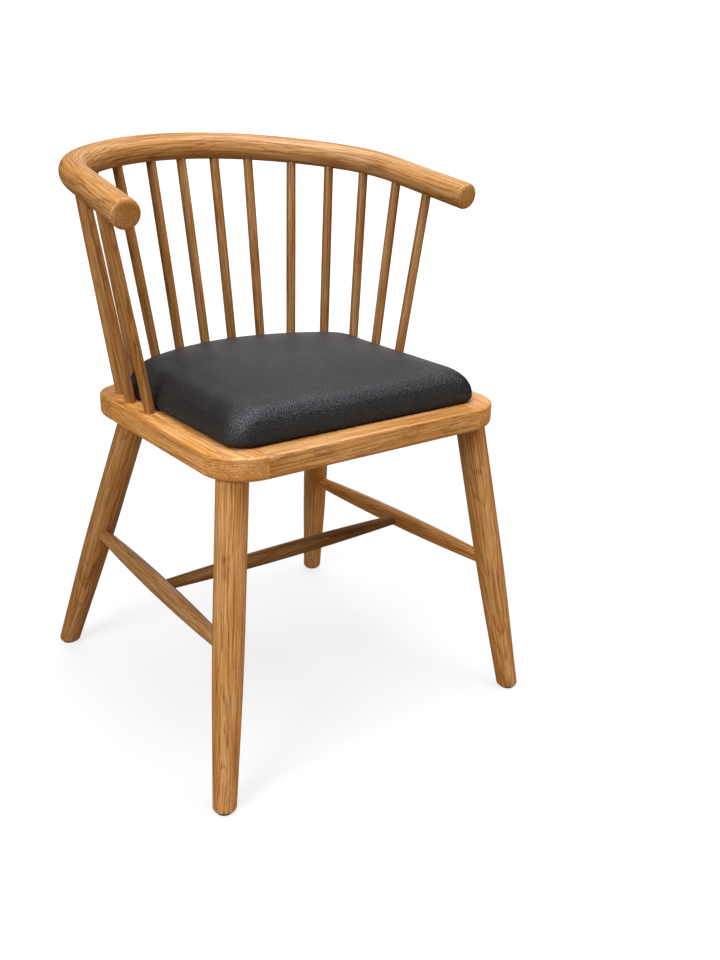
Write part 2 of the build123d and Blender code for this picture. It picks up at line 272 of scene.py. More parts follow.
@dataclass(frozen=True)
class OakFigure:
    """The oak's solid pattern: rings round the pith, streaks, pores, rays and slow changes of tone.

    Cells are counted per metre, across the grain and along it. The bounds of a mask stand in pairs.
    """

    drift_cells: Triple = (13.0, 13.0, 4.0)
    ripple_cells: Triple = (110.0, 110.0, 34.0)
    broad_cells: Triple = (34.0, 34.0, 5.0)
    fibre_cells: Triple = (430.0, 430.0, 9.0)
    pore_cells: Triple = (820.0, 820.0, 24.0)
    ripple: float = 1.4
    taper: float = 0.03
    skin: float = 0.0004
    end_calm: float = 0.4
    end_soak: float = 0.2
    early: Pair = (0.03, 0.42)
    late: Pair = (0.90, 1.0)
    ring_least: float = 0.35
    ring_spread: float = 0.5
    broad: Pair = (0.3, 0.7)
    broad_tone: float = 0.35
    fibre: Pair = (0.3, 0.62)
    fibre_tone: Pair = (0.1, 0.9)
    streak: Pair = (0.51, 0.62)
    streak_share: float = 0.36
    pore: Pair = (0.53, 0.62)
    pore_share: float = 0.68
    late_pores: float = 0.4
    ray: Pair = (0.56, 0.66)
    ray_cells: Triple = (45.0, 40.0, 210.0)
    ray_lean: float = 260.0
    ray_tint: Colour = (1.0, 0.85, 0.55)
    ray_glow: float = 0.12
    rough: float = 0.36
    pore_rough: float = 0.22
    fibre_rough: float = 0.12
    fibre_height: float = 0.4
    pore_height: float = -0.8
    ring_height: float = -0.25

    def ray_mask(self, sketch: NodeSketch, bent: Any, distance: Any) -> bpy.types.NodeSocket:
        """The flecks where rays are cut.

        Args:
            sketch: the group's sketch.
            bent: the wandering coordinates, by axis.
            distance: the distance from the pith.

        Returns:
            A mask.
        """
        out, turned, along = self.ray_cells
        climb = sketch.math("MULTIPLY", bent["Z"], along)
        climb = sketch.math("MULTIPLY_ADD", distance, self.ray_lean, climb)
        round_pith = sketch.math("ARCTAN2", bent["Y"], bent["X"])
        place = {"X": sketch.math("MULTIPLY", distance, out),
                 "Y": sketch.math("MULTIPLY", round_pith, turned), "Z": climb}
        spot = sketch.node("ShaderNodeCombineXYZ", place).outputs[0]
        flecks = sketch.node("ShaderNodeTexNoise", {"Vector": spot, "Scale": 1.0, "Detail": 1.0})
        return sketch.ramp(flecks.outputs["Fac"], self.ray)

    def group(self) -> bpy.types.NodeTree:
        """Builds the pattern.

        Returns:
            A shader group that takes coordinates in metres with the grain along z, and gives colour,
            roughness and height.
        """
        takes = {"Vector": "NodeSocketVector"}
        takes |= {label: "NodeSocketColor" for label in ("Light", "Body", "Dark")}
        for label in ("Ring Spacing", "Wander", "Figure", "Rays", "End", "End Blend"):
            takes[label] = "NodeSocketFloat"
        gives = {"Color": "NodeSocketColor", "Roughness": "NodeSocketFloat", "Height": "NodeSocketFloat"}
        group, source, result = group_of("oak_grain", "ShaderNodeTree", takes, gives)
        sketch, given = NodeSketch(group), source.outputs
        coords, dark = given["Vector"], given["Dark"]
        drift = sketch.noise(coords, self.drift_cells, detail=3.0).outputs["Color"]
        drift = sketch.scaled(sketch.vector("SUBTRACT", drift, HALF), given["Wander"])
        bent = sketch.node("ShaderNodeSeparateXYZ", {0: sketch.vector("ADD", coords, drift)}).outputs
        squares = [sketch.math("POWER", bent[axis], 2.0) for axis in "XY"]
        distance = sketch.math("SQRT", sketch.math("ADD", *squares))
        coord_z = sketch.node("ShaderNodeSeparateXYZ", {0: coords}).outputs["Z"]
        from_end = sketch.math("ABSOLUTE", sketch.math("SUBTRACT", coord_z, given["End"]))
        end_bounds = (self.skin, given["End Blend"])
        off_end = sketch.ramp(from_end, end_bounds, self.end_calm, 1.0)
        ripple = sketch.noise(coords, self.ripple_cells, detail=3.0, roughness=0.6).outputs["Fac"]
        wave = sketch.math("MULTIPLY", sketch.math("MULTIPLY", ripple, self.ripple), off_end)
        tapered = sketch.math("MULTIPLY_ADD", bent["Z"], self.taper, distance)
        phase = sketch.math("ADD", sketch.math("DIVIDE", tapered, given["Ring Spacing"]), wave)
        share = sketch.math("FRACT", phase)
        early = sketch.math("SUBTRACT", 1.0, sketch.ramp(share, self.early))
        early = sketch.math("MAXIMUM", early, sketch.ramp(share, self.late))
        number = {"W": sketch.math("FLOOR", phase)}
        ring_tone = sketch.node("ShaderNodeTexWhiteNoise", number, noise_dimensions="1D").outputs["Value"]
        ring_tone = sketch.math("MULTIPLY_ADD", ring_tone, self.ring_spread, self.ring_least)
        ring = sketch.math("MULTIPLY", early, ring_tone)
        broad = sketch.noise(coords, self.broad_cells).outputs["Fac"]
        fibre = sketch.noise(coords, self.fibre_cells, detail=4.0, roughness=0.65).outputs["Fac"]
        dash = sketch.noise(coords, self.pore_cells, roughness=0.6).outputs["Fac"]
        streak = sketch.math("MULTIPLY", sketch.ramp(fibre, self.streak), off_end)
        porous = sketch.math("MULTIPLY_ADD", early, 1.0 - self.late_pores, self.late_pores)
        pore = sketch.math("MULTIPLY", sketch.ramp(dash, self.pore), porous)
        pore = sketch.math("MULTIPLY", pore, off_end)
        slow = sketch.ramp(broad, self.broad, -self.broad_tone, self.broad_tone)
        tone = sketch.math("ADD", slow, sketch.ramp(fibre, self.fibre, *self.fibre_tone), clamp=True)
        colour = sketch.blend(tone, given["Light"], given["Body"])
        shares = ((ring, given["Figure"]), (streak, self.streak_share), (pore, self.pore_share))
        for mask, strength in shares:
            colour = sketch.blend(sketch.math("MULTIPLY", mask, strength), colour, dark)
        colour = sketch.blend(sketch.ramp(from_end, end_bounds, self.end_soak, 0.0), colour, dark)
        ray = sketch.math("MULTIPLY", self.ray_mask(sketch, bent, distance), given["Rays"])
        colour = sketch.blend(ray, colour, sketch.blend(self.ray_glow, given["Light"], opaque(self.ray_tint)))
        rough = sketch.math("MULTIPLY_ADD", pore, self.pore_rough, self.rough)
        rough = sketch.math("MULTIPLY_ADD", fibre, self.fibre_rough, rough)
        height = sketch.math("MULTIPLY", fibre, self.fibre_height)
        height = sketch.math("MULTIPLY_ADD", pore, self.pore_height, height)
        height = sketch.math("MULTIPLY_ADD", ring, self.ring_height, height)
        for label, value in (("Color", colour), ("Roughness", rough), ("Height", height)):
            sketch.feed(result.inputs[label], value)
        return group


@dataclass(frozen=True)
class PebbleGrain:
    """The leather's pebbled grain: rounded cells of two sizes between fine creases."""

    wobble_cells: Triple = (300.0, 300.0, 300.0)
    wobble: Triple = (0.0016, 0.0016, 0.0016)
    tone_cells: Triple = (18.0, 18.0, 18.0)
    finer: float = 2.3
    finer_height: float = 0.35
    edge: Pair = (0.0, 0.32)

    def group(self) -> bpy.types.NodeTree:
        """Builds the pattern.

        Returns:
            A shader group that takes coordinates in metres and a cell size, and gives a crease mask,
            a tone and a height.
        """
        takes = {"Vector": "NodeSocketVector", "Cell": "NodeSocketFloat"}
        gives = {label: "NodeSocketFloat" for label in ("Crease", "Tone", "Height")}
        group, source, result = group_of("leather_pebble", "ShaderNodeTree", takes, gives)
        sketch, given = NodeSketch(group), source.outputs
        wobble = sketch.noise(given["Vector"], self.wobble_cells).outputs["Color"]
        wobble = sketch.vector("MULTIPLY", sketch.vector("SUBTRACT", wobble, HALF), self.wobble)
        coords = sketch.vector("ADD", given["Vector"], wobble)
        heights = []
        for share in (1.0, self.finer):
            sockets = {"Vector": coords, "Scale": sketch.math("DIVIDE", share, given["Cell"])}
            cells = sketch.node("ShaderNodeTexVoronoi", sockets, feature="DISTANCE_TO_EDGE")
            heights.append(sketch.ramp(cells.outputs["Distance"], self.edge))
        large, small = heights
        height = sketch.math("MULTIPLY_ADD", small, self.finer_height, large)
        crease = sketch.math("SUBTRACT", 1.0, large)
        tone = sketch.noise(given["Vector"], self.tone_cells, detail=3.0).outputs["Fac"]
        for label, value in (("Crease", crease), ("Tone", tone), ("Height", height)):
            sketch.feed(result.inputs[label], value)
        return group


def swept_rod_tree() -> bpy.types.NodeTree:
    """The rule of a rod swept along a line, which keeps the unbent wood's coordinates on its surface.

    Returns:
        A geometry group that takes a curve and gives a closed rod, with an eased far end and a swell.
    """
    takes = {"Curve": "NodeSocketGeometry", "Sides": "NodeSocketInt", "Material": "NodeSocketMaterial"}
    takes |= {label: "NodeSocketFloat" for label in ("Radius", "Swell", "End Round")}
    group, source, result = group_of("swept_rod", "GeometryNodeTree", takes, {"Rod": "NodeSocketGeometry"})
    sketch, given = NodeSketch(group), source.outputs
    place = sketch.node("GeometryNodeSplineParameter").outputs
    length = sketch.node("GeometryNodeSplineLength").outputs["Length"]
    left_over = sketch.math("SUBTRACT", length, place["Length"])
    depth = sketch.math("SUBTRACT", 1.0, sketch.math("DIVIDE", left_over, given["End Round"]), clamp=True)
    inner = sketch.math("SQRT", sketch.math("SUBTRACT", 1.0, sketch.math("POWER", depth, 2.0)))
    lost = sketch.math("MULTIPLY", sketch.math("SUBTRACT", 1.0, inner), given["End Round"])
    bulge = sketch.math("SINE", sketch.math("MULTIPLY", place["Factor"], pi))
    girth = sketch.math("MULTIPLY_ADD", bulge, given["Swell"], given["Radius"])
    girth = sketch.math("SUBTRACT", girth, lost)
    path = sketch.stored(given["Curve"], "along", place["Length"], "FLOAT")
    path = sketch.stored(path, "girth", girth, "FLOAT")
    path = sketch.node("GeometryNodeSetCurveNormal", {"Curve": path}, mode="Z_UP").outputs[0]
    ring = sketch.node("GeometryNodeCurvePrimitiveCircle", {"Resolution": given["Sides"], "Radius": 1.0})
    spot = sketch.node("GeometryNodeInputPosition").outputs[0]
    ring = sketch.stored(ring.outputs["Curve"], "across", spot, "FLOAT_VECTOR")
    kinds = {"along": "FLOAT", "girth": "FLOAT", "across": "FLOAT_VECTOR"}
    read = {name: sketch.node("GeometryNodeInputNamedAttribute", {"Name": name}, data_type=kind).outputs[0]
            for name, kind in kinds.items()}
    sweep = {"Curve": path, "Profile Curve": ring, "Scale": read["girth"], "Fill Caps": True}
    rod = sketch.node("GeometryNodeCurveToMesh", sweep).outputs[0]
    lift = sketch.node("ShaderNodeCombineXYZ", {"Z": read["along"]}).outputs[0]
    grain = sketch.vector("ADD", sketch.scaled(read["across"], read["girth"]), lift)
    rod = sketch.stored(rod, "grain", grain, "FLOAT_VECTOR")
    for name in kinds:
        rod = sketch.node("GeometryNodeRemoveAttribute", {"Geometry": rod, "Name": name}).outputs[0]
    rod = sketch.node("GeometryNodeSetShadeSmooth", {"Geometry": rod, "Shade Smooth": True}).outputs[0]
    rod = sketch.node("GeometryNodeRealizeInstances", {"Geometry": rod}).outputs[0]
    coat = {"Geometry": rod, "Material": given["Material"]}
    sketch.feed(result.inputs["Rod"], sketch.node("GeometryNodeSetMaterial", coat).outputs[0])
    return group


class Workshop:
    """The groups that several pieces share, each built once."""

    def __init__(self) -> None:
        """Builds the groups."""
        self.oak = OakFigure().group()
        self.pebble = PebbleGrain().group()
        self.rod = swept_rod_tree()

    def swept(self, name: str, line: list[Vector], material: bpy.types.Material,
              **sizes: float) -> bpy.types.Object:
        """Sweeps a rod along a line of points.

        Args:
            name: the piece's name.
            line: the points of its centreline.
            material: its finish.
            sizes: values for the tree's inputs, with _ for a space.

        Returns:
            A plain mesh object.
        """
        curve = bpy.data.curves.new(f"{name}_line", "CURVE")
        curve.dimensions = "3D"
        spline = curve.splines.new("POLY")
        spline.points.add(len(line) - 1)
        for point, spot in zip(spline.points, line):
            point.co = (*spot, 1.0)
        guide = bpy.data.objects.new(f"{name}_guide", curve)
        bpy.context.collection.objects.link(guide)
        modifier = guide.modifiers.new("sweep", "NODES")
        modifier.node_group = self.rod
        values: dict[str, Any] = {label.replace("_", " "): value for label, value in sizes.items()}
        values["Material"] = material
        for item in self.rod.interface.items_tree:
            if item.in_out == "INPUT" and item.name in values:
                modifier[item.identifier] = values[item.name]
        graph = bpy.context.evaluated_depsgraph_get()
        swept = guide.evaluated_get(graph)
        mesh = bpy.data.meshes.new_from_object(swept, preserve_all_data_layers=True, depsgraph=graph)
        bpy.data.objects.remove(guide)
        bpy.data.curves.remove(curve)
        mesh.set_sharp_from_angle(angle=SHARP_EDGE)
        piece = bpy.data.objects.new(name, mesh)
        bpy.context.collection.objects.link(piece)
        return piece


@dataclass(frozen=True)
class OakFinish:
    """Oiled oak with a satin sheen."""

    light: Colour = (0.700, 0.400, 0.180)
    body: Colour = (0.530, 0.245, 0.058)
    dark: Colour = (0.205, 0.064, 0.010)
    ring_spacing: float = 0.0032
    wander: float = 0.022
    figure: float = 0.52
    bump: Pair = (0.3, 0.0006)
    varnish: float = 0.25
    varnish_rough: float = 0.3
    gloss: float = 0.32

    def material(self, shop: Workshop, name: str, lay: GrainLay) -> bpy.types.Material:
        """The finish on one piece.

        Args:
            shop: the shared groups.
            name: the material's name.
            lay: how the grain lies in the piece.

        Returns:
            A new material.
        """
        finish, sketch = new_finish(name)
        if lay.source is GrainSource.OBJECT:
            coords = sketch.node("ShaderNodeTexCoord").outputs["Object"]
        else:
            coords = sketch.node("ShaderNodeAttribute", attribute_name=lay.source.value).outputs["Vector"]
        lie = {"Vector": coords, "Location": lay.move(), "Rotation": lay.turn().to_euler("XYZ"),
               "Scale": lay.flip()}
        laid = sketch.node("ShaderNodeMapping", lie).outputs["Vector"]
        sockets = {"Vector": laid, "Ring Spacing": self.ring_spacing, "Wander": self.wander,
                   "Figure": self.figure, "Rays": lay.rays, "End": lay.shift + lay.end,
                   "End Blend": lay.end_blend}
        # Each colour is scaled by the piece's tone, which carries painted light and shade as well as the
        # wood's own variation.
        for label, colour in (("Light", self.light), ("Body", self.body), ("Dark", self.dark)):
            sockets[label] = opaque(tuple(lay.tone * part for part in colour))
        grain = sketch.node("ShaderNodeGroup", sockets, node_tree=shop.oak).outputs
        shader = sketch.surface(grain["Color"], grain["Roughness"], grain["Height"], self.bump)
        shader.inputs["Specular IOR Level"].default_value = self.gloss
        shader.inputs["Coat Weight"].default_value = self.varnish
        shader.inputs["Coat Roughness"].default_value = self.varnish_rough
        return finish


@dataclass(frozen=True)
class LeatherFinish:
    """Charcoal leather with a pebbled grain, its creases darkened as painted shade; the grain flattens
    towards the crown and dulls at the hem.
    """

    face: Colour = (0.041, 0.040, 0.039)
    # The crease colour serves the painted shade in the creases and the random mottle.
    crease: Colour = (0.012, 0.012, 0.014)
    crease_shade_share: float = 0.6
    crease_rough: float = 0.2
    mottle: Pair = (0.3, 0.7)
    mottle_share: float = 0.35
    cell: float = 0.0030
    bump: Pair = (0.38, 0.0012)
    taut: Pair = (0.459, 0.477)
    taut_share: float = 0.22
    taut_rough: float = 0.26
    hem: Pair = (0.427, 0.450)
    hem_rough: float = 0.5
    rough: float = 0.21
    gloss: float = 0.5

    def material(self, shop: Workshop, name: str) -> bpy.types.Material:
        """The leather.

        Args:
            shop: the shared groups.
            name: the material's name.

        Returns:
            A new material.
        """
        finish, sketch = new_finish(name)
        coords = sketch.node("ShaderNodeTexCoord").outputs["Object"]
        sockets = {"Vector": coords, "Cell": self.cell}
        pebble = sketch.node("ShaderNodeGroup", sockets, node_tree=shop.pebble).outputs
        rise = sketch.node("ShaderNodeSeparateXYZ", {0: coords}).outputs["Z"]
        slack = sketch.ramp(rise, self.taut, 1.0, self.taut_share)
        crease = sketch.math("MULTIPLY", pebble["Crease"], slack)
        # The pebble's creases are darkened towards the crease colour: painted shade in the creases, fading on
        # the taut crown.
        deep = sketch.math("MULTIPLY", crease, self.crease_shade_share)
        colour = sketch.blend(deep, opaque(self.face), opaque(self.crease))
        shade = sketch.ramp(pebble["Tone"], self.mottle, 0.0, self.mottle_share)
        colour = sketch.blend(shade, colour, opaque(self.crease))
        rough = sketch.ramp(rise, self.hem, self.rough + self.hem_rough, self.rough)
        rough = sketch.math("MULTIPLY_ADD", crease, self.crease_rough, rough)
        rough = sketch.math("ADD", rough, sketch.ramp(rise, self.taut, 0.0, self.taut_rough))
        relief = sketch.math("MULTIPLY", pebble["Height"], slack)
        shader = sketch.surface(colour, rough, relief, self.bump)
        shader.inputs["Specular IOR Level"].default_value = self.gloss
        return finish


@dataclass(frozen=True)
class PlywoodFinish:
    """Birch plywood: plies along the edge and a plain veneer."""

    light: Colour = (0.62, 0.46, 0.28)
    dark: Colour = (0.42, 0.27, 0.14)
    ply: float = 0.0015
    ply_edge: Pair = (0.35, 0.65)
    ply_share: float = 0.45
    veneer_cells: Triple = (9.0, 240.0, 240.0)
    veneer: Pair = (0.3, 0.75)
    veneer_share: float = 0.55
    fuzz: Pair = (0.2, 0.8)
    rough: Pair = (0.55, 0.72)
    bump: Pair = (0.2, 0.0004)

    def material(self, name: str) -> bpy.types.Material:
        """The plywood.

        Args:
            name: the material's name.

        Returns:
            A new material.
        """
        finish, sketch = new_finish(name)
        coords = sketch.node("ShaderNodeTexCoord").outputs["Object"]
        height = sketch.node("ShaderNodeSeparateXYZ", {0: coords}).outputs["Z"]
        layer = sketch.math("PINGPONG", height, self.ply)
        layer = sketch.ramp(sketch.math("DIVIDE", layer, self.ply), self.ply_edge)
        veneer = sketch.noise(coords, self.veneer_cells, detail=4.0).outputs["Fac"]
        tone = sketch.ramp(veneer, self.veneer, 0.0, self.veneer_share)
        tone = sketch.math("MULTIPLY_ADD", layer, self.ply_share, tone)
        colour = sketch.blend(tone, opaque(self.light), opaque(self.dark))
        sketch.surface(colour, sketch.ramp(veneer, self.fuzz, *self.rough), veneer, self.bump)
        return finish


@dataclass(frozen=True)
class SpeckledFinish:
    """A plain hard finish with a fine mottle, for screws and glides."""

    tone: Colour
    mottle: Colour
    grain: float
    rough: Pair
    metallic: float = 0.0
    fleck: Pair = (0.3, 0.7)
    bump: Pair = (0.12, 0.0002)

    def material(self, name: str) -> bpy.types.Material:
        """The finish.

        Args:
            name: the material's name.

        Returns:
            A new material.
        """
        finish, sketch = new_finish(name)
        coords = sketch.node("ShaderNodeTexCoord").outputs["Object"]
        mottle = sketch.noise(coords, (1.0 / self.grain,) * 3, detail=3.0).outputs["Fac"]
        colour = sketch.blend(mottle, opaque(self.tone), opaque(self.mottle))
        shader = sketch.surface(colour, sketch.ramp(mottle, self.fleck, *self.rough), mottle, self.bump)
        shader.inputs["Metallic"].default_value = self.metallic
        return finish


NYLON = SpeckledFinish(tone=(0.110, 0.095, 0.080), mottle=(0.150, 0.130, 0.110), grain=0.0008,
                       rough=(0.5, 0.7))
STEEL = SpeckledFinish(tone=(0.55, 0.55, 0.57), mottle=(0.42, 0.42, 0.45), grain=0.0006,
                       rough=(0.28, 0.42), metallic=1.0)


def dress_node(name: str, material: bpy.types.Material) -> None:
    """Gives a CAD node its finish and says so.

    Args:
        name: the node.
        material: its finish.
    """
    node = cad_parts[name]
    if not node.material_slots:
        node.data.materials.append(material)
    for slot in node.material_slots:
        slot.material = material
    LOG.info("dressed %s", name)


def seat_piece(piece: bpy.types.Object, slot: str, *nodes: str) -> None:
    """Puts a finished piece in its nodes' place and says so.

    Args:
        piece: the piece.
        slot: not used.
        nodes: the nodes that it stands for.
    """
    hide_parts(*nodes)
    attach(piece, "root")
    LOG.info("built %s for %s", piece.name, ", ".join(nodes))


def u_line(run: float, back: float, angle: float, bend: float, bend_angle: float) -> Pair:
    """A point of a U shaped line: an arc, a tighter arc and a straight arm.

    Args:
        run: distance from the middle of its back.
        back: radius of the back.
        angle: half of the back's arc, in radians.
        bend: radius of the bend.
        bend_angle: the bend's arc, in radians.

    Returns:
        Its x and y, from the middle of the back, with the arms towards -y.
    """
    turn = min(run, back * angle) / back
    x, y = back * sin(turn), back * (cos(turn) - 1)
    bent = turn + min(max(run - back * angle, 0.0), bend * bend_angle) / bend
    x += bend * (sin(bent) - sin(turn))
    y += bend * (cos(bent) - cos(turn))
    arm = max(run - back * angle - bend * bend_angle, 0.0)
    return x + arm * cos(bent), y - arm * sin(bent)


def evenly(outline: list[Vector], count: int) -> list[Vector]:
    """Points at even steps round a closed outline.

    Args:
        outline: the outline's points in order.
        count: how many points to give.

    Returns:
        The new points, from the first one on.
    """
    runs = [0.0]
    closed = outline + outline[:1]
    for first, second in zip(closed, closed[1:]):
        runs.append(runs[-1] + (second - first).length)
    spots: list[Vector] = []
    place = 0
    for k in range(count):
        target = runs[-1] * k / count
        while runs[place + 1] < target:
            place += 1
        span = runs[place + 1] - runs[place]
        share = (target - runs[place]) / span if span else 0.0
        spots.append(closed[place].lerp(closed[place + 1], share))
    return spots


@dataclass
class SeatFrame:
    """The four rails of the seat."""

    half_width: float = 0.214
    front: float = -0.21825
    back: float = 0.17375
    top: float = 0.425
    under: float = 0.395
    rail_width: float = 0.056

    def dress(self, shop: Workshop, oak: OakFinish) -> None:
        """Lays the grain along each rail.

        Args:
            shop: the shared groups.
            oak: the finish.
        """
        across = GrainLay(axis=(1.0, 0.0, 0.0))
        along = GrainLay(axis=(0.0, 1.0, 0.0), end=self.front, end_blend=self.rail_width)
        # The side rails' tones, well above 1, are painted light on those rails.
        lays = {
            "front": replace(across, origin=(0.0, self.front, self.under), pith=(0.012, 0.150),
                             shift=0.31, tone=0.97, rays=0.2),
            "back": replace(across, origin=(0.0, self.back, self.under), pith=(0.180, 0.02), shift=0.83),
            "left": replace(along, origin=(-self.half_width, 0.0, self.under), pith=(0.03, 0.220),
                            shift=1.27, tone=1.19),
            "right": replace(along, origin=(self.half_width, 0.0, self.under), pith=(-0.02, 0.200),
                             shift=1.71, tone=1.18),
        }
        for place, lay in lays.items():
            dress_node(f"seat_rail_{place}", oak.material(shop, f"oak_seat_rail_{place}", lay))


@dataclass
class Underframe:
    """Splayed legs, the H stretcher and the glides.

    Legs are told from front left to back right, and stretchers left, right and centre.
    """

    seat: SeatFrame
    front_inset: Pair = (0.032, 0.0395)
    back_inset: Pair = (0.063, 0.054)
    front_splay: Pair = (0.0545, 0.061)
    back_splay: Pair = (0.0765, 0.120)
    # The leg tones are painted light and shade as well as the wood's own variation: the front left leg
    # lighter, the back left leg darker.
    leg_tones_with_painted_light: tuple[float, ...] = (0.95, 0.86, 0.70, 0.86)
    leg_piths: tuple[Pair, ...] = ((0.030, 0.024), (-0.014, -0.018), (-0.015, -0.019), (0.057, -0.015))
    leg_shift: float = 0.57
    stretcher_height: float = 0.194
    # The stretcher tones are painted shade as well as the wood's own variation: darkest on the centre
    # stretcher under the seat, darker on the left than on the right.
    stretcher_tones_with_painted_light: Triple = (0.67, 0.99, 0.41)
    stretcher_shifts: Triple = (1.9, 2.7, 3.4)
    stretcher_piths: tuple[Pair, ...] = ((0.027, -0.018), (0.027, 0.018), (0.024, 0.031))
    centre_place: float = 0.48

    def leg_line(self, place: str, side: int) -> tuple[Vector, Vector]:
        """A leg's axis.

        Args:
            place: front or back.
            side: -1 on the left and 1 on the right.

        Returns:
            Its foot and its top.
        """
        fore = place == "front"
        inset = self.front_inset if fore else self.back_inset
        splay = self.front_splay if fore else self.back_splay
        x = self.seat.half_width - inset[0]
        y = self.seat.front + inset[1] if fore else self.seat.back - inset[1]
        foot = Vector((side * (x + splay[0]), y - splay[1] if fore else y + splay[1], 0.0))
        return foot, Vector((side * x, y, self.seat.under))

    def dress(self, shop: Workshop, oak: OakFinish, glide: SpeckledFinish) -> None:
        """Lays the grain along each leg and stretcher, and finishes the glides.

        Args:
            shop: the shared groups.
            oak: the finish of the wood.
            glide: the finish of the glides.
        """
        black = glide.material("glide_nylon")
        joins: dict[tuple[str, str], Vector] = {}
        legs = [(place, name) for place in ("front", "back") for name in SIDES]
        for number, (place, name) in enumerate(legs):
            foot, top = self.leg_line(place, SIDES[name])
            joins[place, name] = foot.lerp(top, self.stretcher_height / self.seat.under)
            lay = GrainLay(tuple(top - foot), tuple(foot), self.leg_piths[number],
                           self.leg_shift * number, self.leg_tones_with_painted_light[number])
            dress_node(f"leg_{place}_{name}", oak.material(shop, f"oak_leg_{place}_{name}", lay))
            dress_node(f"glide_{place}_{name}", black)
        lines = {f"side_stretcher_{name}": (joins["front", name], joins["back", name]) for name in SIDES}
        crossing = joins["front", "left"].lerp(joins["back", "left"], self.centre_place)
        middle = Vector((0.0, crossing.y, self.stretcher_height))
        lines["centre_stretcher"] = (middle, middle + Vector((1.0, 0.0, 0.0)))
        for number, (node, (start, end)) in enumerate(lines.items()):
            lay = GrainLay(tuple(end - start), tuple(start), self.stretcher_piths[number],
                           self.stretcher_shifts[number], self.stretcher_tones_with_painted_light[number])
            dress_node(node, oak.material(shop, f"oak_{node}", lay))


@dataclass
class BowRail:
    """The round bow: a back arc and two arms, each with a bend and a straight end."""

    seat: SeatFrame
    radius: float = 0.0175
    height: float = 0.721
    overhang: float = 0.0385
    tilt: float = radians(9.7)
    back_radius: float = 0.296
    back_angle: float = radians(42.8)
    bend_radius: float = 0.112
    bend_angle: float = radians(43.2)
    arm_length: float = 0.144
    pith: Pair = (0.034, 0.016)
    shift: float = 4.1
    tone: float = 0.84
    dowel_axis: Triple = (1.0, 0.3, 0.0)
    end_round: float = 0.0055
    end_steps: int = 8
    step: float = 0.006
    sides: int = 40

    @property
    def joint(self) -> float:
        """The run from the middle of the back to the joint."""
        return self.back_radius * self.back_angle

    @property
    def end(self) -> float:
        """The run from the middle of the back to the arm's end."""
        return self.joint + self.bend_radius * self.bend_angle + self.arm_length

    def point(self, run: float, side: int) -> Vector:
        """A point of the centreline.

        Args:
            run: distance from the middle of the back.
            side: -1 on the left and 1 on the right.

        Returns:
            The point.
        """
        x, y = u_line(run, self.back_radius, self.back_angle, self.bend_radius, self.bend_angle)
        back = self.seat.back + self.overhang
        return Vector((side * x, back + y * cos(self.tilt), self.height + y * sin(self.tilt)))

    def arm_runs(self) -> list[float]:
        """The steps of an arm's sweep.

        Returns:
            Runs along the arm, close together where its end is eased.
        """
        plain = self.end - self.end_round - self.joint
        count = round(plain / self.step)
        runs = [self.joint + plain * k / count for k in range(count + 1)]
        turns = [k * pi / (2 * self.end_steps) for k in range(1, self.end_steps + 1)]
        return runs + [self.end - self.end_round * (1 - sin(turn)) for turn in turns]

    def build(self, shop: Workshop, oak: OakFinish) -> None:
        """Sweeps the three pieces of the bow, with the grain along the bends.

        Args:
            shop: the shared groups.
            oak: the finish.
        """
        count = round(2 * self.joint / self.step)
        runs = [self.joint * (2 * k / count - 1) for k in range(count + 1)]
        lines = {"bow_back": [self.point(abs(run), -1 if run < 0 else 1) for run in runs]}
        for name, side in SIDES.items():
            lines[f"bow_arm_{name}"] = [self.point(run, side) for run in self.arm_runs()]
        arm = self.end - self.joint
        lay = GrainLay(pith=self.pith, shift=self.shift, tone=self.tone, source=GrainSource.SWEPT)
        lays = {"bow_back": lay,
                "bow_arm_left": replace(lay, end=-arm, mirrored=True),
                "bow_arm_right": replace(lay, shift=lay.shift + 2 * self.joint, end=arm)}
        for node, line in lines.items():
            material = oak.material(shop, f"oak_{node}", lays[node])
            end_round = NO_ROUND if node == "bow_back" else self.end_round
            piece = shop.swept(f"swept_{node}", line, material, Radius=self.radius, Swell=0.0,
                               End_Round=end_round, Sides=self.sides)
            seat_piece(piece, "oak", node)
        dress_node("bow_dowels", oak.material(shop, "oak_bow_dowels", GrainLay(self.dowel_axis)))


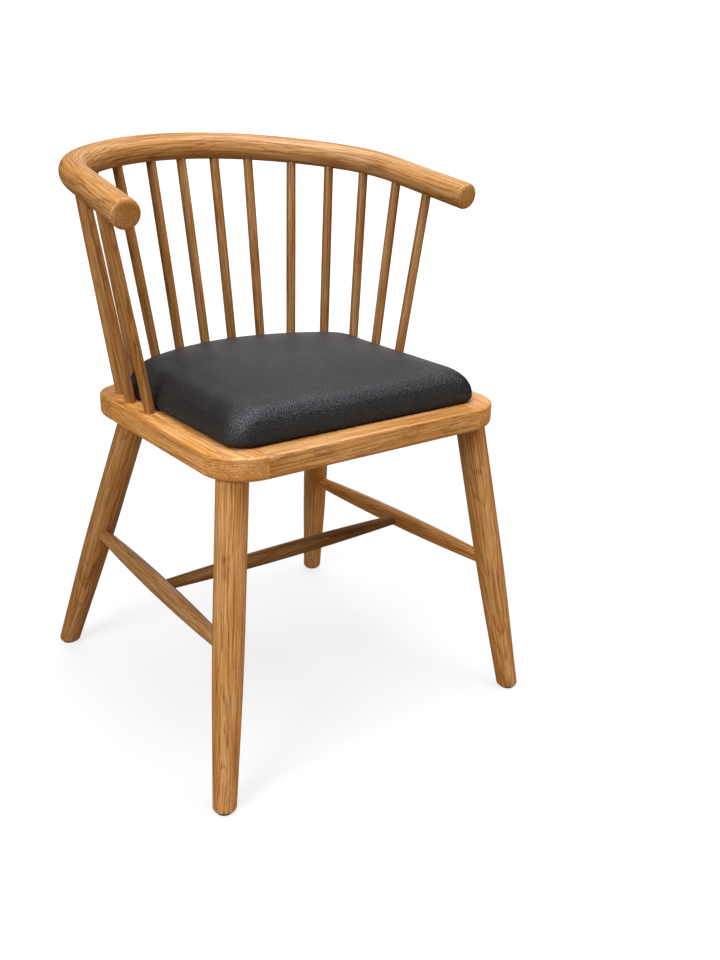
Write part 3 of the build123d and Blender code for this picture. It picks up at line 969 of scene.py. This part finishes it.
@dataclass
class SpindleBack:
    """Fourteen slender spindles between the seat and the bow."""

    seat: SeatFrame
    bow: BowRail
    radius: float = 0.0065
    inset: float = 0.0185
    depth: float = 0.011
    line_radius: float = 0.300
    line_corner: float = 0.031
    swell: float = 0.0003
    back_tops: tuple[float, ...] = (0.119, 0.351, 0.645, 0.895)
    arm_tops: tuple[float, ...] = (0.126, 0.389, 0.667)
    feet: tuple[float, ...] = (0.042, 0.129, 0.217, 0.314, 0.399, 0.486, 0.589)
    # The spindles' tones, well below 1, are painted shade; the left and right sets differ as the wood does.
    tones: Pair = (0.67, 0.61)
    pith: Pair = (0.016, 0.012)
    pith_step: Pair = (0.003, 0.002)
    shift_step: float = 0.43
    points: int = 25
    sides: int = 28

    def top_runs(self) -> list[float]:
        """The spindles' places along the bow.

        Returns:
            Runs from the middle of its back.
        """
        joint, reach = self.bow.joint, self.bow.end - self.bow.joint
        along_back = [share * joint for share in self.back_tops]
        return along_back + [joint + share * reach for share in self.arm_tops]

    def foot(self, share: float, side: int) -> Vector:
        """A spindle's place on the seat.

        Args:
            share: its place along half of the spindle line.
            side: -1 on the left and 1 on the right.

        Returns:
            The place.
        """
        half = self.seat.half_width - self.inset
        back = self.seat.back - self.inset
        core = self.line_radius - self.line_corner
        angle = asin((half - self.line_corner) / core)
        bend = pi / 2 - angle
        bend_y = back - self.line_radius + core * cos(angle)
        length = self.line_radius * angle + self.line_corner * bend + bend_y - self.seat.front
        x, y = u_line(share * length, self.line_radius, angle, self.line_corner, bend)
        return Vector((side * x, back + y, self.seat.top))

    def build(self, shop: Workshop, oak: OakFinish) -> None:
        """Sweeps every spindle from its socket in the seat to the bow's middle.

        Args:
            shop: the shared groups.
            oak: the finish.
        """
        for (name, side), tone in zip(SIDES.items(), self.tones):
            for number, (share, run) in enumerate(zip(self.feet, self.top_runs()), 1):
                foot, top = self.foot(share, side), self.bow.point(run, side)
                low = foot - (top - foot).normalized() * self.depth
                line = [low.lerp(top, k / (self.points - 1)) for k in range(self.points)]
                pith = (self.pith[0] + self.pith_step[0] * number,
                        self.pith[1] * side + self.pith_step[1] * number)
                lay = GrainLay(pith=pith, shift=self.shift_step * number + side, tone=tone,
                               source=GrainSource.SWEPT)
                node = f"spindle_{name}_{number}"
                material = oak.material(shop, f"oak_{node}", lay)
                piece = shop.swept(f"turned_{node}", line, material, Radius=self.radius, Swell=self.swell,
                                   End_Round=NO_ROUND, Sides=self.sides)
                seat_piece(piece, "oak", node)


@dataclass
class SeatPad:
    """The crowned leather pad on its board."""

    seat: SeatFrame
    inset: float = 0.027
    back_radius: float = 0.3185
    front_corner: float = 0.025
    back_corner: float = 0.028
    corner_steps: int = 24
    lift: float = 0.0005
    drawn_in: float = 0.0015
    belly: float = 0.006
    side: float = 0.043
    roll: float = 0.025
    roll_turns: tuple[float, ...] = (20.0, 40.0, 58.0, 72.0, 82.0)
    side_ease: float = 0.4
    crown: float = 0.052
    crown_steps: int = 6
    flat: float = 0.118
    slack: float = -0.0005
    voxel: float = 0.005
    held_share: float = 0.4
    pressure: float = 4.0
    quality: int = 5
    stiffness: float = 25.0
    bending: float = 3.0
    frames: int = 20
    side_cap: float = 0.0025
    top_cap: float = 0.006
    evening: int = 60
    ring_points: int = 240

    def ring(self, inset: float, height: float) -> list[Vector]:
        """A level line of the pad.

        Args:
            inset: how far inside the pad's widest line it runs.
            height: how high above the seat it lies.

        Returns:
            Points at even steps round it.
        """
        eased = self.side_ease * min(max(inset, 0.0), self.roll)
        inset += self.inset
        wide = self.seat.half_width - inset - eased
        front, back = self.seat.front + inset, self.seat.back - inset
        radius = self.back_radius - inset
        fore, aft = self.front_corner, self.back_corner
        bend_x = wide - aft
        bend_y = back - radius + sqrt((radius - aft) ** 2 - bend_x**2)
        slant = atan2(bend_y - back + radius, bend_x)
        half: list[Vector] = []
        for centre, size, start, end in (((wide - fore, front + fore), fore, -pi / 2, 0.0),
                                         ((bend_x, bend_y), aft, 0.0, slant),
                                         ((0.0, back - radius), radius, slant, pi / 2)):
            for k in range(self.corner_steps + 1):
                angle = start + (end - start) * k / self.corner_steps
                half.append(Vector((centre[0] + size * cos(angle), centre[1] + size * sin(angle))))
        outline = half + [Vector((-spot.x, spot.y)) for spot in reversed(half[:-1])]
        level = self.seat.top + height
        return [Vector((spot.x, spot.y, level)) for spot in evenly(outline, self.ring_points)]

    def levels(self) -> list[Pair]:
        """The pad's level lines before it is filled.

        Returns:
            Insets and heights, from hem to crown.
        """
        lines = [(self.drawn_in, self.lift), (self.slack, self.belly)]
        for turn in map(radians, self.roll_turns):
            inset = self.slack + self.roll * (1 - cos(turn))
            lines.append((inset, self.belly + (self.side - self.belly) * sin(turn)))
        edge, rise = lines[-1]
        deep = (self.seat.back - self.seat.front - self.flat) / 2 - self.inset
        climb = self.crown - self.top_cap / 2 - rise
        for step in range(1, self.crown_steps + 1):
            share = step / self.crown_steps
            lines.append((edge + (deep - edge) * share, rise + climb * (1 - (1 - share) ** 2)))
        return lines

    def start_form(self) -> bpy.types.Object:
        """Makes the form that the filling pushes out.

        Returns:
            A closed form, before its mesh is evened.
        """
        shell = bmesh.new()
        rings = [[shell.verts.new(spot) for spot in self.ring(*line)] for line in self.levels()]
        for low, high in zip(rings, rings[1:]):
            for k in range(self.ring_points):
                after = (k + 1) % self.ring_points
                shell.faces.new((low[k], low[after], high[after], high[k]))
        shell.faces.new(list(reversed(rings[0])))
        shell.faces.new(rings[-1])
        bmesh.ops.recalc_face_normals(shell, faces=shell.faces)
        mesh = bpy.data.meshes.new("leather_pad")
        shell.to_mesh(mesh)
        shell.free()
        pad = bpy.data.objects.new("leather_pad", mesh)
        bpy.context.collection.objects.link(pad)
        return pad

    def even_mesh(self, pad: bpy.types.Object) -> None:
        """Replaces the pad's faces by small even ones.

        Args:
            pad: the pad.
        """
        remesh = pad.modifiers.new("even", "REMESH")
        remesh.mode = "VOXEL"
        remesh.voxel_size = self.voxel
        graph = bpy.context.evaluated_depsgraph_get()
        mesh = bpy.data.meshes.new_from_object(pad.evaluated_get(graph))
        pad.modifiers.remove(remesh)
        old, pad.data = pad.data, mesh
        bpy.data.meshes.remove(old)

    def swollen(self, pad: bpy.types.Object) -> list[Vector]:
        """Lets the filling push the cover out, held at its hem.

        Args:
            pad: the pad.

        Returns:
            One move for each vertex.
        """
        held = pad.vertex_groups.new(name="hem")
        low = self.seat.top + self.lift + self.held_share * self.voxel
        held.add([vert.index for vert in pad.data.vertices if vert.co.z < low], 1.0, "REPLACE")
        cloth = pad.modifiers.new("filling", "CLOTH")
        settings = {"vertex_group_mass": "hem", "use_pressure": True, "quality": self.quality,
                    "uniform_pressure_force": self.pressure, "tension_stiffness": self.stiffness,
                    "compression_stiffness": self.stiffness, "bending_stiffness": self.bending}
        for label, value in settings.items():
            setattr(cloth.settings, label, value)
        cloth.settings.effector_weights.gravity = 0.0
        cloth.collision_settings.use_collision = False
        cloth.point_cache.frame_start = 1
        cloth.point_cache.frame_end = self.frames
        for number in range(1, self.frames + 1):
            bpy.context.scene.frame_set(number)
        graph = bpy.context.evaluated_depsgraph_get()
        after = pad.evaluated_get(graph).data.vertices
        moves = [late.co - early.co for early, late in zip(pad.data.vertices, after)]
        pad.modifiers.remove(cloth)
        bpy.context.scene.frame_set(1)
        return moves

    def settled(self, pad: bpy.types.Object, moves: list[Vector]) -> list[Vector]:
        """Evens a field of moves over the pad's mesh, as the wadding does.

        Args:
            pad: the pad.
            moves: one move for each vertex.

        Returns:
            The evened moves.
        """
        near: list[list[int]] = [[] for _ in moves]
        for edge in pad.data.edges:
            first, second = edge.vertices
            near[first].append(second)
            near[second].append(first)
        for _ in range(self.evening):
            moves = [(move + sum((moves[k] for k in ring), Vector())) / (len(ring) + 1)
                     for move, ring in zip(moves, near)]
        return moves

    def fill(self, pad: bpy.types.Object) -> None:
        """Moves the cover as its filling does, and no further than the caps allow.

        Args:
            pad: the pad.
        """
        moves = self.settled(pad, self.swollen(pad))
        outward = max(Vector((move.x, move.y)).length for move in moves)
        upward = max(move.z for move in moves)
        LOG.info("filling moves the cover by %.1f mm sideways and %.1f mm up", outward * 1000, upward * 1000)
        wide, high = self.side_cap / outward, self.top_cap / upward
        for vert, move in zip(pad.data.vertices, moves):
            vert.co += Vector((move.x * wide, move.y * wide, move.z * high))

    def build(self, shop: Workshop, leather: LeatherFinish) -> None:
        """Makes the pad and sets it on the seat.

        Args:
            shop: the shared groups.
            leather: the finish.
        """
        pad = self.start_form()
        self.even_mesh(pad)
        self.fill(pad)
        pad.data.materials.append(leather.material(shop, "charcoal_leather"))
        smooth = pad.modifiers.new("smooth", "SUBSURF")
        smooth.levels = smooth.render_levels = 1
        for face in pad.data.polygons:
            face.use_smooth = True
        seat_piece(pad, "leather", "seat_cover", "seat_foam")

    def dress(self, plywood: PlywoodFinish, steel: SpeckledFinish) -> None:
        """Finishes the board and the screws that hold it."""
        dress_node("seat_board", plywood.material("birch_plywood"))
        dress_node("pad_screws", steel.material("plated_steel"))


@dataclass(frozen=True)
class SoftLamp:
    """A square soft light that looks at the chair."""

    name: str
    spot: Triple
    size: float
    power: float
    tint: Colour = WHITE
    shines: bool = True

    def hang(self, middle: Vector) -> None:
        """Hangs the lamp, out of the camera's sight, and out of the gloss where it shouldn't shine.

        Args:
            middle: where it looks.
        """
        lamp = bpy.data.lights.new(self.name, "AREA")
        lamp.size = self.size
        lamp.energy = self.power
        lamp.color = self.tint
        holder = bpy.data.objects.new(self.name, lamp)
        holder.location = self.spot
        holder.visible_camera = False
        holder.visible_glossy = self.shines
        holder.rotation_euler = (middle - Vector(self.spot)).to_track_quat("-Z", "Y").to_euler()
        bpy.context.collection.objects.link(holder)


@dataclass
class Studio:
    """The pale floor, the soft lights and the camera."""

    azimuth: float = radians(-38.347)
    elevation: float = radians(21.211)
    roll: float = radians(1.821)
    distance: float = 1.26563
    target: Triple = (0.00396, -0.17414, 0.34777)
    focal_pixels: float = 1016.1
    image_height: float = 960.0
    sensor: float = 36.0
    floor_reach: float = 3.0
    floor_tone: float = 0.26
    floor_bounce: float = 0.48
    floor_glow: float = 0.595
    floor_fade: Pair = (0.7, 1.6)
    floor_rough: float = 0.9
    floor_gloss: float = 0.1
    room_light: float = 0.13
    room_tint: Colour = (1.0, 0.88, 0.72)
    gloss_share: float = 0.35
    bounce_tint: Colour = (1.0, 0.86, 0.66)
    lamp_aim: Triple = (0.0, 0.0, 0.4)
    lamps: tuple[SoftLamp, ...] = (
        SoftLamp("overhead_softbox", (0.25, -0.25, 2.4), 2.0, 50.0, DAYLIGHT),
        SoftLamp("key_softbox", (-2.2, -0.7, 1.75), 1.3, 47.0, DAYLIGHT),
        SoftLamp("fill_softbox", (1.2, -1.7, 0.3), 0.9, 10.5, LAMPLIGHT, shines=False),
        SoftLamp("front_glint", (0.75, -1.4, 1.45), 0.5, 1.8),
        SoftLamp("backdrop", (2.2, 2.6, 1.2), 2.4, 12.0),
        SoftLamp("back_softbox", (0.4, 2.8, 0.9), 1.6, 20.0, shines=False),
    )

    def floor(self) -> None:
        """Lays the floor."""
        mesh = bpy.data.meshes.new("studio_floor")
        corners = [(self.floor_reach * x, self.floor_reach * y, 0.0)
                   for x, y in ((-1, -1), (1, -1), (1, 1), (-1, 1))]
        mesh.from_pydata(corners, [], [(0, 1, 2, 3)])
        ground = bpy.data.objects.new("studio_floor", mesh)
        bpy.context.collection.objects.link(ground)
        finish, sketch = new_finish("floor_paper")
        shader = finish.node_tree.nodes["Principled BSDF"]
        ray = sketch.node("ShaderNodeLightPath")
        seen = ray.outputs["Is Camera Ray"]
        bounce = tuple(self.floor_bounce * part for part in self.bounce_tint)
        mirrored = tuple(self.gloss_share * part for part in bounce)
        tone = sketch.blend(ray.outputs["Is Glossy Ray"], opaque(bounce), opaque(mirrored))
        tone = sketch.blend(seen, tone, opaque((self.floor_tone,) * 3))
        spot = sketch.node("ShaderNodeTexCoord").outputs["Object"]
        away = sketch.node("ShaderNodeVectorMath", {0: spot}, operation="LENGTH").outputs["Value"]
        fed = {"Base Color": tone, "Emission Color": opaque(WHITE),
               "Emission Strength": sketch.math("MULTIPLY", seen, self.floor_glow),
               "Alpha": sketch.ramp(away, self.floor_fade, 1.0, 0.0),
               "Roughness": self.floor_rough, "Specular IOR Level": self.floor_gloss}
        for label, value in fed.items():
            sketch.feed(shader.inputs[label], value)
        mesh.materials.append(finish)

    def light(self) -> None:
        """Hangs the soft lights and sets the room's own light."""
        for lamp in self.lamps:
            lamp.hang(Vector(self.lamp_aim))
        world = bpy.data.worlds.new("white_room")
        world.use_nodes = True
        bpy.context.scene.world = world
        sketch = NodeSketch(world.node_tree)
        back = world.node_tree.nodes["Background"]
        ray = sketch.node("ShaderNodeLightPath")
        seen = ray.outputs["Is Camera Ray"]
        sketch.feed(back.inputs["Color"], sketch.blend(seen, opaque(self.room_tint), opaque(WHITE)))
        dimming = self.room_light * (self.gloss_share - 1)
        glow = sketch.math("MULTIPLY_ADD", ray.outputs["Is Glossy Ray"], dimming, self.room_light)
        sketch.feed(back.inputs["Strength"], sketch.math("MAXIMUM", seen, glow))

    def camera(self) -> None:
        """Sets the camera where the photograph was taken from."""
        level = cos(self.elevation)
        back = Vector((sin(self.azimuth) * level, -cos(self.azimuth) * level, sin(self.elevation)))
        right = (-back).cross(Vector((0.0, 0.0, 1.0))).normalized()
        up = right.cross(-back)
        tilted = right * cos(self.roll) + up * sin(self.roll)
        upright = up * cos(self.roll) - right * sin(self.roll)
        lens = bpy.data.cameras.new("photo_camera")
        lens.sensor_width = self.sensor
        lens.lens = self.focal_pixels * self.sensor / self.image_height
        holder = bpy.data.objects.new("photo_camera", lens)
        turn = Matrix((tilted, upright, back)).transposed().to_4x4()
        holder.matrix_world = Matrix.Translation(Vector(self.target) + back * self.distance) @ turn
        bpy.context.collection.objects.link(holder)
        bpy.context.scene.camera = holder

    def build(self) -> None:
        """Sets up the whole studio."""
        self.camera()
        self.floor()
        self.light()
        view = bpy.context.scene.view_settings
        view.view_transform = "Standard"
        view.look = "Medium High Contrast"


def main() -> None:
    """Builds the studio and the chair's pieces in order."""
    logging.basicConfig(level=logging.INFO, format="%(name)s: %(message)s")
    Studio().build()
    shop = Workshop()
    oak = OakFinish()
    seat = SeatFrame()
    seat.dress(shop, oak)
    Underframe(seat).dress(shop, oak, NYLON)
    bow = BowRail(seat)
    bow.build(shop, oak)
    SpindleBack(seat, bow).build(shop, oak)
    pad = SeatPad(seat)
    pad.build(shop, LeatherFinish())
    pad.dress(PlywoodFinish(), STEEL)


if __name__ == "__main__":
    main()
